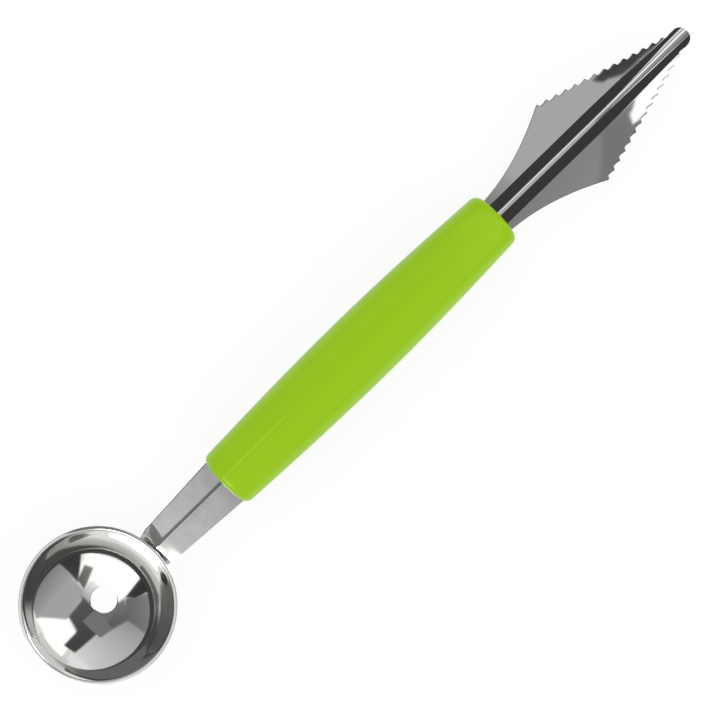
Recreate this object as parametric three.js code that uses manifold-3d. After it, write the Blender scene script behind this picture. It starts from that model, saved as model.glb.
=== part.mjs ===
// Melon scoop: a moulded barrel handle with a drawn scoop bowl on a pressed neck at one end
// and a folded, saw-toothed carving blade at the other.
// Millimetres, +Z up. The tool lies along X, bowl at -X, blade at +X, and the bowl opens upwards.
// The origin is under the middle of the tool, level with its lowest point.
import * as THREE from "three";
import { mergeVertices } from "three/addons/utils/BufferGeometryUtils.js";
import Module from "manifold-3d";

// Handle: a barrel with flat ends and rounded end corners.
const HANDLE_LENGTH = 92.9;
const HANDLE_MID_DIAMETER = 17.7;
const HANDLE_SCOOP_END_DIAMETER = 15.2;
const HANDLE_BLADE_END_DIAMETER = 14.7;
const HANDLE_END_ROUND = 2.2;

// Scoop bowl: a spherical cup of sheet steel with a straight wall under its rim and a drain hole.
const BOWL_MOUTH_DIAMETER = 37.1; // inside the rim
const BOWL_DEPTH = 10.0;
const BOWL_RIM_WALL = 2.4; // length of the straight wall
const BOWL_SHEET = 0.7;
const DRAIN_HOLE_DIAMETER = 6.6;
const BOWL_REACH = 42.9; // from the handle's end to the bowl's axis

// Neck: a strip with a raised ridge, bent down to a dished seat against the outside of the bowl.
const NECK_SHEET = 1.0;
const NECK_SIDE_WALL = 1.1; // plastic left beside the neck where it enters the handle
const NECK_WIDTH_AT_BOWL = 10.4;
const NECK_BEND_RADIUS = 6.5;
const SEAT_DROP = 0.3; // along the bowl, from its straight wall to the top of the seat
const SEAT_LENGTH = 9.0;
const SEAT_WIDTH = 9.2;
const SEAT_CORNER = 3.0;
const RIDGE_HEIGHT = 0.35;
const RIDGE_WIDTH_AT_HANDLE = 2.4;
const RIDGE_WIDTH_AT_BOWL = 7.0;
const RIDGE_RUN_OUT = 3.0; // where the ridge sinks into the bend
const NECK_ENTRY = 3.0; // depth of full width inside the handle
const NECK_TANG_WIDTH = 10.0;
const NECK_TANG_LENGTH = 34.0;
const NECK_LOCK_HOLE_DIAMETER = 5.0;

// Carving blade: a leaf folded along a raised centre rib, with wings that fall to both sides.
const BLADE_SHEET = 0.8;
const BLADE_LENGTH = 64.5;
const BLADE_WIDTH = 25.6;
const BLADE_WIDTH_AT_HANDLE = 9.5;
const SHOULDER_REACH = 26.6; // from the handle's end to the widest point
const FLARE_START = 12.4; // where the edges begin to swing out
const FLARE_WIDTH = 10.9; // width that the flare starts from, at its bend
const RIB_WIDTH = 5.4;
const RIB_CREST_RADIUS = 0.9;
const RIB_FLANK_ANGLE = 46;
const WING_ANGLE = 17;
const TOOTH_PITCH = 2.55;
const TOOTH_DEPTH = 0.95;
const TOOTH_FACE_RUN = 0.55;
const TOOTH_HOLLOW = 0.2;
const TIP_LENGTH = 2.6;
const TIP_WIDTH = 4.8;
const BLADE_LOCK_HOLE_DIAMETER = 3.6;

// Fits
const TANG_GAP = 24.0; // solid plastic between the ends of the two tangs
const TANG_CLEARANCE = 0.3;
const SEAT_CLEARANCE = 0.25;

// Fineness of the round faces
const HANDLE_SIDES = 48;
const BOWL_SIDES = 72;
const HOLE_SIDES = 24;
const BARREL_STEPS = 10;
const BOWL_STEPS = 12;
const BEND_STEPS = 5;
const CORNER_STEPS = 4;
const RIDGE_STEPS = 8;

// Places along X from the middle of the handle.
const scoopEndX = -HANDLE_LENGTH / 2;
const bladeEndX = HANDLE_LENGTH / 2;
const bowlX = scoopEndX - BOWL_REACH;
const toolEndX = bladeEndX + BLADE_LENGTH;

// The bowl's sphere and the slope of the straight wall that leaves it, from mouth, depth and wall.
const mouthRadius = BOWL_MOUTH_DIAMETER / 2;
const wallAngle = 2 * Math.atan(BOWL_DEPTH / (mouthRadius + BOWL_RIM_WALL));
const innerRadius = (mouthRadius - BOWL_RIM_WALL * Math.cos(wallAngle)) / Math.sin(wallAngle);
const outerRadius = innerRadius + BOWL_SHEET;
const rimRadius = mouthRadius + BOWL_SHEET / Math.sin(wallAngle);
const centreAboveRim = innerRadius - BOWL_DEPTH;
const toolStartX = bowlX - rimRadius;

// The neck's middle surface lies on the handle's axis, then bends down onto the seat.
const seatRadius = outerRadius + SEAT_CLEARANCE + NECK_SHEET / 2;
const seatTopAngle = wallAngle - SEAT_DROP / outerRadius;
const seatEndAngle = seatTopAngle - SEAT_LENGTH / seatRadius;
const bendReach = (seatRadius + NECK_BEND_RADIUS) * Math.sin(seatTopAngle);
const sphereZ = (seatRadius + NECK_BEND_RADIUS) * Math.cos(seatTopAngle) - NECK_BEND_RADIUS;
const neckWidthAtHandle = HANDLE_SCOOP_END_DIAMETER - 2 * NECK_SIDE_WALL;
const neckTangEnd = BOWL_REACH + NECK_TANG_LENGTH;
const neckLockHole = BOWL_REACH + NECK_TANG_LENGTH / 2;

const bladeTangLength = HANDLE_LENGTH - NECK_TANG_LENGTH - TANG_GAP;
const bladeLockHole = -bladeTangLength / 2;

// The lowest point is the edge of the drain hole, or the handle's belly under a shallower bowl.
const holeEdgeZ = sphereZ - Math.sqrt(outerRadius ** 2 - (DRAIN_HOLE_DIAMETER / 2) ** 2);
const lowestZ = Math.min(holeEdgeZ, -HANDLE_MID_DIAMETER / 2);

const wasm = await Module();
wasm.setup();

// Solids and meshes

function toSolid(geometry) {
  const bare = geometry.clone();
  bare.deleteAttribute("normal");
  bare.deleteAttribute("uv");
  const merged = mergeVertices(bare, 1e-4);
  return new wasm.Manifold(
    new wasm.Mesh({
      numProp: 3,
      vertProperties: merged.attributes.position.array,
      triVerts: new Uint32Array(merged.index.array),
    }),
  );
}

function toGeometry(solid) {
  const { vertProperties, triVerts } = solid.getMesh();
  const shared = new THREE.BufferGeometry();
  shared.setAttribute("position", new THREE.BufferAttribute(new Float32Array(vertProperties), 3));
  shared.setIndex(new THREE.BufferAttribute(new Uint32Array(triVerts), 1));
  const flat = shared.toNonIndexed();
  flat.computeVertexNormals();
  return flat;
}

function namedMesh(name, geometry, material) {
  const mesh = new THREE.Mesh(geometry, material);
  mesh.name = name;
  return mesh;
}

// Points on an arc about a centre, angles from the +X side of the sketch.
function arcPoints(centre, radius, startAngle, endAngle, steps) {
  const curve = new THREE.EllipseCurve(
    centre.x, centre.y, radius, radius, startAngle, endAngle, endAngle < startAngle);
  return curve.getPoints(steps);
}

// A shape that is the same on both sides of the X axis, from its +Y half, start to end.
function mirroredShape(half) {
  const other = half.map((point) => new THREE.Vector2(point.x, -point.y)).reverse();
  const all = [...other, ...half];
  const closed = all.filter((point, i) => point.distanceTo(all[(i + 1) % all.length]) > 1e-6);
  return new THREE.Shape(closed);
}

// A prism on a plan outline, between two heights.
function uprightPrism(shape, lowZ, highZ) {
  const prism = new THREE.ExtrudeGeometry(shape, {
    depth: highZ - lowZ,
    bevelEnabled: false,
    curveSegments: CORNER_STEPS,
  });
  return toSolid(prism.translate(0, 0, lowZ));
}

// A bar along X whose section is drawn in the YZ plane.
function barAlongX(section, startX, endX, steps = 1) {
  const bar = new THREE.ExtrudeGeometry(section, {
    depth: endX - startX,
    steps,
    bevelEnabled: false,
    curveSegments: CORNER_STEPS,
  });
  const sketchToTool = new THREE.Matrix4().makeBasis(
    new THREE.Vector3(0, 1, 0), new THREE.Vector3(0, 0, 1), new THREE.Vector3(1, 0, 0));
  return bar.applyMatrix4(sketchToTool).translate(startX, 0, 0);
}

function uprightPin(x, diameter, halfHeight) {
  const pin = new THREE.CylinderGeometry(diameter / 2, diameter / 2, 2 * halfHeight, HOLE_SIDES);
  return toSolid(pin.rotateX(Math.PI / 2).translate(x, 0, 0));
}

// A profile of radius and height turned round the Z axis.
function turnedUpright(profile) {
  return toSolid(new THREE.LatheGeometry(profile, BOWL_SIDES).rotateX(Math.PI / 2));
}

// Scoop bowl, about its own axis

// One face of the cup from the drain hole to the rim.
function bowlFace(radius, rimEdge) {
  const startAngle = Math.asin(DRAIN_HOLE_DIAMETER / 2 / radius) - Math.PI / 2;
  const endAngle = wallAngle - Math.PI / 2;
  const cup = arcPoints(new THREE.Vector2(0, sphereZ), radius, startAngle, endAngle, BOWL_STEPS);
  return [...cup, new THREE.Vector2(rimEdge, sphereZ - centreAboveRim)];
}

function makeBowl() {
  const outside = bowlFace(outerRadius, rimRadius);
  const inside = bowlFace(innerRadius, mouthRadius).reverse();
  return toGeometry(turnedUpright([...outside, ...inside, outside[0]]));
}

// Neck, about the bowl's axis

// One face of the pressed strip, at a distance above its middle surface.
function neckFace(above, reach) {
  const quarter = Math.PI / 2;
  const sphere = new THREE.Vector2(0, sphereZ);
  const bend = new THREE.Vector2(bendReach, -NECK_BEND_RADIUS);
  const seatArc = arcPoints(
    sphere, seatRadius - above, seatEndAngle - quarter, seatTopAngle - quarter, BEND_STEPS);
  const bendArc = arcPoints(
    bend, NECK_BEND_RADIUS + above, quarter + seatTopAngle, quarter, BEND_STEPS);
  return [...seatArc, ...bendArc.slice(1), new THREE.Vector2(reach, above)];
}

// The strip's outline from above, grown all round by a clearance for the handle's socket.
function neckOutline(grow) {
  const tangHalf = NECK_TANG_WIDTH / 2 + grow;
  const seatHalf = SEAT_WIDTH / 2 + grow;
  const seatEnd = seatRadius * Math.sin(seatEndAngle) - grow;
  const seatTop = seatRadius * Math.sin(seatTopAngle);
  const entryEnd = BOWL_REACH + NECK_ENTRY;
  const handleHalf = neckWidthAtHandle / 2 + grow;
  const shoulder = handleHalf - tangHalf;
  const seatCorner = arcPoints(
    new THREE.Vector2(seatEnd + SEAT_CORNER, seatHalf - SEAT_CORNER),
    SEAT_CORNER, Math.PI, Math.PI / 2, CORNER_STEPS);
  return mirroredShape([
    ...seatCorner,
    new THREE.Vector2(seatTop, seatHalf),
    new THREE.Vector2(bendReach, NECK_WIDTH_AT_BOWL / 2 + grow),
    new THREE.Vector2(BOWL_REACH, handleHalf),
    new THREE.Vector2(entryEnd + grow, handleHalf),
    new THREE.Vector2(entryEnd + grow + shoulder, tangHalf),
    new THREE.Vector2(neckTangEnd + grow, tangHalf),
  ]);
}

// The pressed ridge as a roof-shaped bar: the ridge on the top face, or its hollow in the bottom face.
function ridgeBar(baseZ, grow, startX, endX, steps) {
  const slope = RIDGE_HEIGHT / (RIDGE_WIDTH_AT_HANDLE / 2);
  const rise = grow * Math.hypot(1, slope);
  const half = RIDGE_WIDTH_AT_HANDLE / 2 + rise / slope;
  const section = new THREE.Shape([
    new THREE.Vector2(-half, baseZ - NECK_SHEET / 2),
    new THREE.Vector2(half, baseZ - NECK_SHEET / 2),
    new THREE.Vector2(half, baseZ),
    new THREE.Vector2(0, baseZ + RIDGE_HEIGHT + rise),
    new THREE.Vector2(-half, baseZ),
  ]);
  return barAlongX(section, startX, endX, steps);
}

// Between the handle and the bend the ridge widens towards the bowl, then sinks into the sheet.
function flaredRidge(baseZ) {
  const bar = ridgeBar(baseZ, 0, bendReach, BOWL_REACH, RIDGE_STEPS);
  const widening = RIDGE_WIDTH_AT_BOWL / RIDGE_WIDTH_AT_HANDLE - 1;
  const place = bar.attributes.position;
  for (let i = 0; i < place.count; i += 1) {
    const fromBend = place.getX(i) - bendReach;
    const share = 1 - fromBend / (BOWL_REACH - bendReach);
    const sunk = Math.min(fromBend / RIDGE_RUN_OUT, 1);
    const above = Math.max(place.getZ(i) - baseZ, 0);
    place.setY(i, place.getY(i) * (1 + widening * share ** 2));
    place.setZ(i, place.getZ(i) - above * (1 - sunk));
  }
  return toSolid(bar);
}

function makeNeck() {
  const half = NECK_SHEET / 2;
  const reach = 2 * neckTangEnd;
  const lower = neckFace(-half, reach);
  const upper = neckFace(half, reach).reverse();
  const pressed = turnedUpright([...lower, ...upper, lower[0]]);
  const strip = pressed.intersect(uprightPrism(neckOutline(0), -outerRadius, outerRadius));
  const ridgeInside = toSolid(ridgeBar(half, 0, BOWL_REACH, neckTangEnd));
  const hollowInside = toSolid(ridgeBar(-half, 0, BOWL_REACH, neckTangEnd + half));
  return toGeometry(
    strip
      .add(flaredRidge(half))
      .add(ridgeInside)
      .subtract(flaredRidge(-half))
      .subtract(hollowInside)
      .subtract(uprightPin(neckLockHole, NECK_LOCK_HOLE_DIAMETER, HANDLE_MID_DIAMETER / 2)),
  );
}

// The space that the neck's tang takes in the handle, with the plastic plug left in its lock hole.
function neckSocket() {
  const half = NECK_SHEET / 2 + TANG_CLEARANCE;
  const mouth = BOWL_REACH - HANDLE_END_ROUND;
  const ridgeEnd = neckTangEnd + TANG_CLEARANCE;
  const plug = uprightPin(
    neckLockHole, NECK_LOCK_HOLE_DIAMETER - 2 * TANG_CLEARANCE, HANDLE_MID_DIAMETER / 2);
  return uprightPrism(neckOutline(TANG_CLEARANCE), -half, half)
    .add(toSolid(ridgeBar(NECK_SHEET / 2, TANG_CLEARANCE, mouth, ridgeEnd)))
    .subtract(plug);
}

// Carving blade, from the handle's end

// The sheet's middle line across the blade, from the rib's crest out to one edge.
function bladeMidline(halfWidth) {
  const flank = THREE.MathUtils.degToRad(RIB_FLANK_ANGLE);
  const wing = THREE.MathUtils.degToRad(WING_ANGLE);
  const crest = arcPoints(
    new THREE.Vector2(0, -RIB_CREST_RADIUS),
    RIB_CREST_RADIUS, Math.PI / 2, Math.PI / 2 - flank, BEND_STEPS);
  const flankStart = crest[crest.length - 1];
  const wingRoot = flankStart.y - (RIB_WIDTH / 2 - flankStart.x) * Math.tan(flank);
  const edgeFall = (halfWidth - RIB_WIDTH / 2) * Math.tan(wing);
  const outward = [
    ...crest,
    new THREE.Vector2(RIB_WIDTH / 2, wingRoot),
    new THREE.Vector2(halfWidth, wingRoot - edgeFall),
  ];
  const centring = wingRoot / 2;
  return outward.map((point) => new THREE.Vector2(point.x, point.y - centring));
}

// A line moved sideways by a distance, with mitred corners.
function offsetLine(line, distance) {
  return line.map((point, i) => {
    const before = line[Math.max(i - 1, 0)];
    const after = line[Math.min(i + 1, line.length - 1)];
    const into = (i > 0 ? point.clone().sub(before) : after.clone().sub(point)).normalize();
    const away = (i < line.length - 1 ? after.clone().sub(point) : into.clone()).normalize();
    const along = into.clone().add(away).normalize();
    const normal = new THREE.Vector2(-along.y, along.x);
    return point.clone().addScaledVector(normal, distance / along.dot(into));
  });
}

function bladeSection(halfWidth, thickness) {
  const half = bladeMidline(halfWidth);
  const other = half.slice(1).map((point) => new THREE.Vector2(-point.x, point.y)).reverse();
  const line = [...other, ...half];
  const lower = offsetLine(line, -thickness / 2);
  const upper = offsetLine(line, thickness / 2).reverse();
  return new THREE.Shape([...lower, ...upper]);
}

// One edge of the leaf from the handle to the tip.
function leafEdge() {
  const start = new THREE.Vector2(0, BLADE_WIDTH_AT_HANDLE / 2);
  const swing = new THREE.Vector2(FLARE_START, FLARE_WIDTH / 2);
  const shoulder = new THREE.Vector2(SHOULDER_REACH, BLADE_WIDTH / 2);
  const edgeEnd = new THREE.Vector2(BLADE_LENGTH - TIP_LENGTH, TIP_WIDTH / 2);
  const edge = [...new THREE.QuadraticBezierCurve(start, swing, shoulder).getPoints(BOWL_STEPS)];
  const teeth = Math.round((edgeEnd.x - shoulder.x) / TOOTH_PITCH);
  for (let tooth = 0; tooth < teeth; tooth += 1) {
    const tip = shoulder.clone().lerp(edgeEnd, tooth / teeth);
    const next = shoulder.clone().lerp(edgeEnd, (tooth + 1) / teeth);
    const root = new THREE.Vector2(tip.x + TOOTH_FACE_RUN, tip.y - TOOTH_DEPTH);
    const hollow = root.clone().lerp(next, 0.5).add(new THREE.Vector2(0, -TOOTH_HOLLOW));
    edge.push(root, hollow, next);
  }
  const nose = new THREE.QuadraticBezierCurve(
    edgeEnd,
    new THREE.Vector2(BLADE_LENGTH, edgeEnd.y),
    new THREE.Vector2(BLADE_LENGTH, 0));
  return [...edge, ...nose.getPoints(CORNER_STEPS).slice(1)];
}

function makeBlade() {
  const tangStart = new THREE.Vector2(-bladeTangLength, BLADE_WIDTH_AT_HANDLE / 2);
  const outline = mirroredShape([tangStart, ...leafEdge()]);
  const section = bladeSection(BLADE_WIDTH, BLADE_SHEET);
  const folded = toSolid(barAlongX(section, -2 * bladeTangLength, 2 * BLADE_LENGTH));
  return toGeometry(
    folded
      .intersect(uprightPrism(outline, -BLADE_WIDTH, BLADE_WIDTH))
      .subtract(uprightPin(bladeLockHole, BLADE_LOCK_HOLE_DIAMETER, HANDLE_MID_DIAMETER / 2)),
  );
}

// The space that the blade's tang takes in the handle, with the plug left in its lock hole.
function bladeSocket() {
  const halfWidth = BLADE_WIDTH_AT_HANDLE / 2 + TANG_CLEARANCE;
  const section = bladeSection(halfWidth, BLADE_SHEET + 2 * TANG_CLEARANCE);
  const socket = barAlongX(section, -bladeTangLength - TANG_CLEARANCE, HANDLE_END_ROUND);
  const plug = uprightPin(
    bladeLockHole, BLADE_LOCK_HOLE_DIAMETER - 2 * TANG_CLEARANCE, HANDLE_MID_DIAMETER / 2);
  return toSolid(socket).subtract(plug);
}

// Handle, from its own middle

function barrelRadius(x) {
  const endDiameter = x < 0 ? HANDLE_SCOOP_END_DIAMETER : HANDLE_BLADE_END_DIAMETER;
  const swell = Math.cos((Math.PI * x) / HANDLE_LENGTH);
  return (endDiameter + (HANDLE_MID_DIAMETER - endDiameter) * swell) / 2;
}

function makeHandle() {
  const cornerX = HANDLE_LENGTH / 2 - HANDLE_END_ROUND;
  const scoopCorner = new THREE.Vector2(barrelRadius(-cornerX) - HANDLE_END_ROUND, -cornerX);
  const bladeCorner = new THREE.Vector2(barrelRadius(cornerX) - HANDLE_END_ROUND, cornerX);
  const barrel = [];
  for (let step = 1 - BARREL_STEPS; step < BARREL_STEPS; step += 1) {
    const x = (cornerX * step) / BARREL_STEPS;
    barrel.push(new THREE.Vector2(barrelRadius(x), x));
  }
  const profile = [
    new THREE.Vector2(0, scoopEndX),
    ...arcPoints(scoopCorner, HANDLE_END_ROUND, -Math.PI / 2, 0, CORNER_STEPS),
    ...barrel,
    ...arcPoints(bladeCorner, HANDLE_END_ROUND, 0, Math.PI / 2, CORNER_STEPS),
    new THREE.Vector2(0, bladeEndX),
  ];
  const solid = toSolid(new THREE.LatheGeometry(profile, HANDLE_SIDES).rotateZ(-Math.PI / 2));
  return toGeometry(
    solid
      .subtract(neckSocket().translate([bowlX, 0, 0]))
      .subtract(bladeSocket().translate([bladeEndX, 0, 0])),
  );
}

// Materials

const limePlastic = new THREE.MeshStandardMaterial({ color: 0x94c720, roughness: 0.45, metalness: 0 });
const polishedSteel = new THREE.MeshStandardMaterial({ color: 0xd0d2d0, roughness: 0.12, metalness: 1 });
const satinSteel = new THREE.MeshStandardMaterial({ color: 0xb4b7b4, roughness: 0.35, metalness: 1 });

// Assembly

const scoop = new THREE.Group();
scoop.position.set(bowlX, 0, 0);
scoop.add(namedMesh("scoop_bowl", makeBowl(), polishedSteel));
scoop.add(namedMesh("scoop_neck", makeNeck(), satinSteel));

const knife = new THREE.Group();
knife.position.set(bladeEndX, 0, 0);
knife.add(namedMesh("carving_blade", makeBlade(), polishedSteel));

const tool = new THREE.Group();
tool.position.set(-(toolStartX + toolEndX) / 2, 0, -lowestZ);
tool.add(namedMesh("handle", makeHandle(), limePlastic), scoop, knife);

const melonScoop = new THREE.Group();
melonScoop.name = "melon_scoop";
melonScoop.add(tool);

export default melonScoop;
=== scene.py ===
"""Melon scoop: the finished looks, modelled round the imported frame.

Metres, +X from the bowl to the blade's tip, +Z up out of the bowl's mouth.
"""
import math

import bpy
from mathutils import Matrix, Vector


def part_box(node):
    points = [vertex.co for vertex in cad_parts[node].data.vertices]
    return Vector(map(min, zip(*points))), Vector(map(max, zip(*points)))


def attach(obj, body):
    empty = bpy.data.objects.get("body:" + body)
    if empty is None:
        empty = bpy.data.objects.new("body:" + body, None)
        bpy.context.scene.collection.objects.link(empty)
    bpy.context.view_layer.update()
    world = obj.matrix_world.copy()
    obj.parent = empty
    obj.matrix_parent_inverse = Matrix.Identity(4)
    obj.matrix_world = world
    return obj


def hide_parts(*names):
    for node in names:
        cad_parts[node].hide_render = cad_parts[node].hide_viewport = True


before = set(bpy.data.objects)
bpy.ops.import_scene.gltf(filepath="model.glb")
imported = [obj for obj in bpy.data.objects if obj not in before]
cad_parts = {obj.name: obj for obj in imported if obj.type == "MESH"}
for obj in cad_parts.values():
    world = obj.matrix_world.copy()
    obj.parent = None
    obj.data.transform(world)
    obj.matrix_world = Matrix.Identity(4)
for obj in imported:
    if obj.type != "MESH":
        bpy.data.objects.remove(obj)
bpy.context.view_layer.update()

MM = 0.001

# Handle: a barrel with flat ends and rounded end corners
HANDLE_SCOOP_END_DIAMETER = 15.2 * MM
HANDLE_BLADE_END_DIAMETER = 14.7 * MM
HANDLE_END_ROUND = 2.2 * MM
HANDLE_SIDES = 240
HANDLE_SMOOTH_DEGREES = 32
BARREL_STEPS = 40
CORNER_STEPS = 8

# Parting line of the mould: a fine ridge that fades out along the top, just off the middle, and a
# lower one all along the underside
PARTING_ANGLE = math.radians(7.5)
PARTING_HEIGHT = 0.11 * MM
PARTING_FADE_START = -34.0 * MM
PARTING_FADE_END = -12.0 * MM
PARTING_SHARE_UNDER = 0.6

# Scoop bowl: a spherical cup of sheet steel with a straight wall under its rim and a drain hole
BOWL_MOUTH_DIAMETER = 37.1 * MM
BOWL_DEPTH = 10.0 * MM
BOWL_RIM_WALL = 2.4 * MM
BOWL_SHEET = 0.7 * MM
DRAIN_HOLE_DIAMETER = 6.6 * MM
BOWL_EDGE_ROUND = 0.22 * MM
BOWL_EDGE_STEPS = 4
BOWL_SIDES = 168
BOWL_STEPS = 44
BOWL_SMOOTH_DEGREES = 50

# Neck: a strip with a low ridge, bent down to a dished seat on the bowl. At the bend the ridge fades
# and the strip's two sides fall away from the middle like a shallow roof
NECK_SHEET = 1.0 * MM
NECK_WIDTH_AT_HANDLE = 13.0 * MM
NECK_WIDTH_AT_BOWL = 10.4 * MM
NECK_BEND_RADIUS = 3.4 * MM
SEAT_LENGTH = 9.0 * MM
SEAT_WIDTH = 9.2 * MM
SEAT_CORNER = 3.0 * MM
SEAT_CLEARANCE = 0.25 * MM
RIDGE_SLOPE = 0.2
RIDGE_POWER = 2.0
RIDGE_HALF_WIDTH = 1.7 * MM
RIDGE_FADE = 0.75
ROOF_ANGLE = math.radians(7.5)
ROOF_BEFORE_BEND = 2.0 * MM
ROOF_PAST_BEND = 0.8 * MM
CREST_ROUND = 0.06 * MM
DISH_FROM_SEAT_END = 2.5 * MM
DISH_PAST_SEAT_TOP = 1.0 * MM
NECK_ROWS = 24
NECK_ROW_POWER = 1.6
NECK_COLUMN_STEP = 0.4 * MM
NECK_ENTRY = 3.0 * MM
NECK_TANG_WIDTH = 10.0 * MM
NECK_TANG_LENGTH = 34.0 * MM

# Carving blade: a leaf folded along a raised centre rib, with wings that fall to both sides. A tooth's
# rounds and the start of its back are shares of the lines that they lie on
BLADE_SHEET = 0.8 * MM
BLADE_WIDTH = 25.6 * MM
BLADE_WIDTH_AT_HANDLE = 9.5 * MM
SHOULDER_REACH = 26.6 * MM
FLARE_START = 12.4 * MM
FLARE_WIDTH = 10.9 * MM
RIB_WIDTH = 5.7 * MM
RIB_WIDTH_AT_TIP = 4.5 * MM
RIB_CREST_RADIUS = 0.9 * MM
RIB_CREST_RADIUS_AT_TIP = 2.0 * MM
RIB_ROUNDING_START = 32.0 * MM
RIB_FLANK_ANGLE = math.radians(46.0)
WING_ANGLE = math.radians(17.0)
FOLD_ROUND = 0.2 * MM
RIB_ROW_STEP = 0.12 * MM
RIB_ROW_REACH = 3.12 * MM
NARROW_LEAF = 1.1
WING_ROW_SHARES = (0.08, 0.2, 0.33, 0.46, 0.6, 0.74, 0.87, 1.0)
FLARE_STEPS = 28
TOOTH_COUNT = 14
TOOTH_DEPTH = 0.95 * MM
TOOTH_FACE_RUN = 0.4 * MM
TOOTH_HOLLOW = 0.1 * MM
TOOTH_TIP_ROUND = 0.3
TOOTH_FACE_ROUND = 0.25
TOOTH_ROOT_ROUND = 0.15
TOOTH_CORNER_STEPS = 3
TOOTH_BACK_START = 0.3
TOOTH_BACK_STEPS = 5
TIP_LENGTH = 2.6 * MM
TIP_WIDTH = 4.8 * MM
NOSE_STEPS = 12
NOSE_BLUNT_STEP = 10
BLADE_TANG_LENGTH = 34.9 * MM
TANG_COLUMN_STEP = 6.0 * MM

# Fit of the sheet steel in the plastic, the most that its sheared edges are rounded, and the width of
# the last row of faces along the blade's edge
SOCKET_CLEARANCE = 0.08 * MM
NECK_EDGE_ROUND = 0.1 * MM
BLADE_EDGE_ROUND = 0.05 * MM
BLADE_EDGE_BAND = 0.25 * MM
SHEET_EDGE_SEGMENTS = 2
SHEET_EDGE_ANGLE = math.radians(60)
SHEET_SMOOTH_DEGREES = 24
MERGE_DISTANCE = 0.0005 * MM

# Places from the frame
handle_low, handle_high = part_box("handle")
bowl_low, bowl_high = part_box("scoop_bowl")
blade_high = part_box("carving_blade")[1]

handle_axis_z = (handle_low.z + handle_high.z) / 2
handle_mid_x = (handle_low.x + handle_high.x) / 2
handle_length = handle_high.x - handle_low.x
handle_mid_radius = (handle_high.z - handle_low.z) / 2

bowl_axis_x = (bowl_low.x + bowl_high.x) / 2
bowl_rim_z = bowl_high.z
bowl_reach = handle_low.x - bowl_axis_x

blade_length = blade_high.x - handle_high.x

# The bowl's sphere and the slope of its straight wall, from mouth, depth and wall
mouth_radius = BOWL_MOUTH_DIAMETER / 2
wall_angle = 2 * math.atan(BOWL_DEPTH / (mouth_radius + BOWL_RIM_WALL))
bowl_inner_radius = (mouth_radius - BOWL_RIM_WALL * math.cos(wall_angle)) / math.sin(wall_angle)
bowl_outer_radius = bowl_inner_radius + BOWL_SHEET
rim_radius = mouth_radius + BOWL_SHEET / math.sin(wall_angle)
sphere_z = bowl_rim_z + bowl_inner_radius - BOWL_DEPTH

# The neck's middle surface: level on the handle's axis, then a bend, then the seat
seat_radius = bowl_outer_radius + SEAT_CLEARANCE + NECK_SHEET / 2
seat_top_angle = math.acos(
    (sphere_z - handle_axis_z + NECK_BEND_RADIUS) / (seat_radius + NECK_BEND_RADIUS))
seat_end_angle = seat_top_angle - SEAT_LENGTH / seat_radius
seat_top_reach = seat_radius * math.sin(seat_top_angle)
seat_end_reach = seat_radius * math.sin(seat_end_angle)
bend_reach = (seat_radius + NECK_BEND_RADIUS) * math.sin(seat_top_angle)
roof_start = bend_reach + ROOF_BEFORE_BEND
roof_full = bend_reach - ROOF_PAST_BEND
dish_start = seat_end_reach + DISH_FROM_SEAT_END
dish_end = seat_top_reach + DISH_PAST_SEAT_TOP


def select_only(piece):
    """Makes one object the selected and active one."""
    bpy.ops.object.select_all(action="DESELECT")
    piece.select_set(True)
    bpy.context.view_layer.objects.active = piece


def name_piece(piece, name):
    """Gives an object and its mesh the same name."""
    piece.name = name
    piece.data.name = name


def finish_modifier(piece, kind, **settings):
    """Adds a modifier with its settings and applies it."""
    modifier = piece.modifiers.new(kind.title(), kind)
    for setting, value in settings.items():
        setattr(modifier, setting, value)
    select_only(piece)
    bpy.ops.object.modifier_apply(modifier=modifier.name)


def smooth_faces(piece, degrees):
    """Shades a piece smoothly over the edges that turn less than this."""
    select_only(piece)
    bpy.ops.object.shade_smooth_by_angle(angle=math.radians(degrees))


def round_edges(piece, width):
    """Rounds the sheared edges of a sheet, as far as its finest faces leave room, and smooths it."""
    finish_modifier(
        piece, "BEVEL", width=width, segments=SHEET_EDGE_SEGMENTS, limit_method="ANGLE",
        angle_limit=SHEET_EDGE_ANGLE)
    smooth_faces(piece, SHEET_SMOOTH_DEGREES)


def blend_share(value, start, end):
    """0 before start, 1 after end, with an even ease between them."""
    share = min(max((value - start) / (end - start), 0.0), 1.0)
    return share * share * (3 - 2 * share)


def arc_points(centre, radius, start, end, steps):
    """Points on an arc in a sketch plane, angles in radians."""
    points = []
    for step in range(steps + 1):
        angle = start + (end - start) * step / steps
        x = centre[0] + radius * math.cos(angle)
        y = centre[1] + radius * math.sin(angle)
        points.append(Vector((x, y)))
    return points


def bezier_points(start, control, end, steps):
    """Points on a quadratic curve, both ends among them."""
    points = []
    for step in range(steps + 1):
        t = step / steps
        points.append(start * (1 - t) ** 2 + control * 2 * t * (1 - t) + end * t ** 2)
    return points


def round_corners(points, corners, cut):
    """A closed line with some of its corners rounded off."""
    rounded = []
    for i, point in enumerate(points):
        if i in corners:
            before = (points[i - 1] - point).normalized()
            after = (points[(i + 1) % len(points)] - point).normalized()
            start = point + before * cut
            end = point + after * cut
            rounded.extend(bezier_points(start, point, end, BOWL_EDGE_STEPS))
        else:
            rounded.append(point)
    return rounded


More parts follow.
